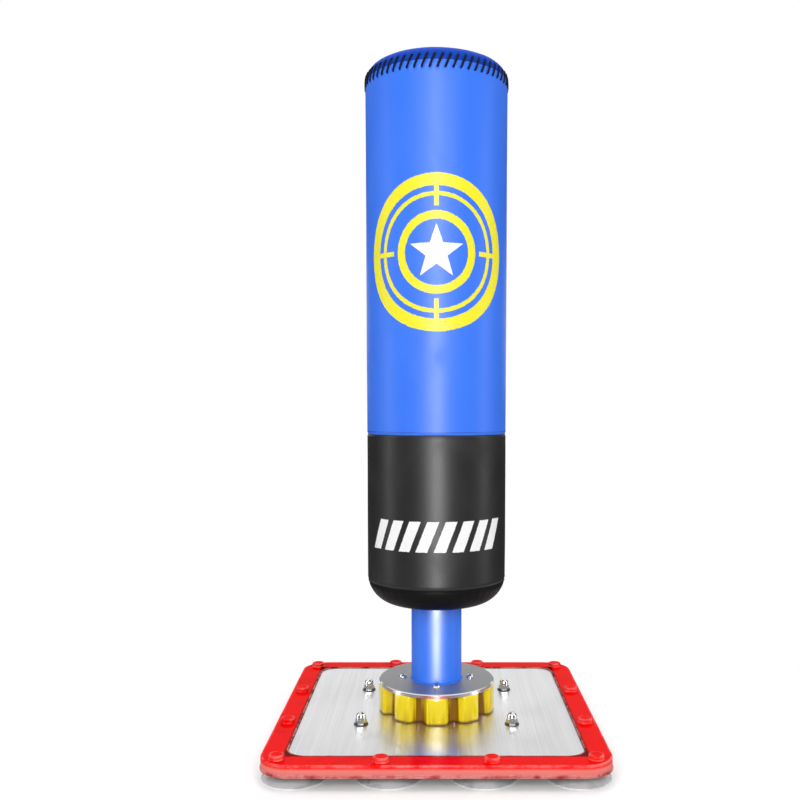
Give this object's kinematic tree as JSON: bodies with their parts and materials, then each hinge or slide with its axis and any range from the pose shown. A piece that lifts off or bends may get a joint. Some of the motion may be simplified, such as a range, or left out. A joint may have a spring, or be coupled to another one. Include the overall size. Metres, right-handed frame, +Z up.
{
  "type": "free-standing boxing bag",
  "caption": "Free-standing boxing bag that turns on a post, on a springy lobed rubber damper and a square base with a steel deck and suction cups.",
  "frame": {"origin": "on the floor under the axis of the post, at the middle of the base", "axes": "+Z up along the post, -Y towards the front, where the print is, +X to the right when seen from the front, looking along +Y"},
  "size_m": [0.62, 0.62, 1.361],
  "materials": {
    "black_moulding": "moulded, matte",
    "red_moulding": "moulded, glossy",
    "grey_moulding": "extruded, matte",
    "white_bush": "turned, matte",
    "brushed_deck": "brushed front to back",
    "zinc_plate": "zinc plated",
    "zinc_fastener": "zinc plated",
    "bright_fastener": "polished",
    "polished_flange": "turned and polished",
    "blue_paint": "glossy powder coat",
    "amber_rubber": "clear cast rubber",
    "cup_rubber": "translucent, smooth",
    "foam": "closed-cell foam",
    "board": "plywood",
    "blue_leather": "coated fabric, satin",
    "crown_leather": "coated fabric, satin",
    "black_leather": "coated fabric, satin",
    "navy_lace": "braided cord"
  },
  "bodies": {
    "base": {"base_tray": "black_moulding", "rim_frame": "red_moulding", "deck_plate": "brushed_deck", "stiffener_plate": "zinc_plate", "rim_screws": "zinc_fastener", "deck_bolts": "zinc_fastener", "deck_washers": "bright_fastener", "deck_cap_nuts": "bright_fastener", "damper_lower_bolts": "zinc_fastener", "damper_lower_inserts": "zinc_fastener", "rim_cap_01": "red_moulding", "rim_cap_02": "red_moulding", "rim_cap_03": "red_moulding", "rim_cap_04": "red_moulding", "rim_cap_05": "red_moulding", "rim_cap_06": "red_moulding", "rim_cap_07": "red_moulding", "rim_cap_08": "red_moulding", "rim_cap_09": "red_moulding", "rim_cap_10": "red_moulding", "rim_cap_11": "red_moulding", "rim_cap_12": "red_moulding", "suction_cup_01": "cup_rubber", "suction_cup_02": "cup_rubber", "suction_cup_03": "cup_rubber", "suction_cup_04": "cup_rubber", "suction_cup_05": "cup_rubber", "suction_cup_06": "cup_rubber", "suction_cup_07": "cup_rubber", "suction_cup_08": "cup_rubber", "suction_cup_09": "cup_rubber", "suction_cup_10": "cup_rubber", "suction_cup_11": "cup_rubber", "suction_cup_12": "cup_rubber", "suction_cup_13": "cup_rubber", "suction_cup_14": "cup_rubber", "suction_cup_15": "cup_rubber", "suction_cup_16": "cup_rubber"},
    "damper": {"damper_block": "amber_rubber"},
    "post": {"damper_upper_inserts": "zinc_fastener", "post_flange": "polished_flange", "flange_screws": "bright_fastener", "post_tube": "blue_paint", "post_top_plug": "black_moulding"},
    "bag": {"core_tube": "grey_moulding", "core_end_cap": "grey_moulding", "guide_bush_lower": "white_bush", "guide_bush_upper": "white_bush", "foam_core_roll": "foam", "foam_outer_sleeve": "foam", "foam_top_plug": "foam", "foam_crown": "foam", "bottom_board": "board", "cover_upper": "blue_leather", "cover_lower": "black_leather", "cover_top_panel": "crown_leather", "cover_bottom_panel": "black_leather", "bottom_piping": "black_leather", "back_seam_strip": "blue_leather", "top_lacing": "navy_lace"}
  },
  "joints": [
    {"name": "sway_front", "type": "hinge", "parent": "base", "child": "damper", "pos_m": [0, 0, 0.0665], "axis": [1, 0, 0], "range_deg": [-8, 8], "stiffness_Nm_per_rad": 2800, "deforming": ["damper_block"]},
    {"name": "sway_side", "type": "hinge", "parent": "damper", "child": "post", "pos_m": [0, 0, 0.0665], "axis": [0, 1, 0], "range_deg": [-8, 8], "stiffness_Nm_per_rad": 2800, "deforming": ["damper_block"]},
    {"name": "bag_spin", "type": "hinge", "parent": "post", "child": "bag", "pos_m": [0, 0, 0.7], "axis": [0, 0, 1], "continuous": true}
  ]
}
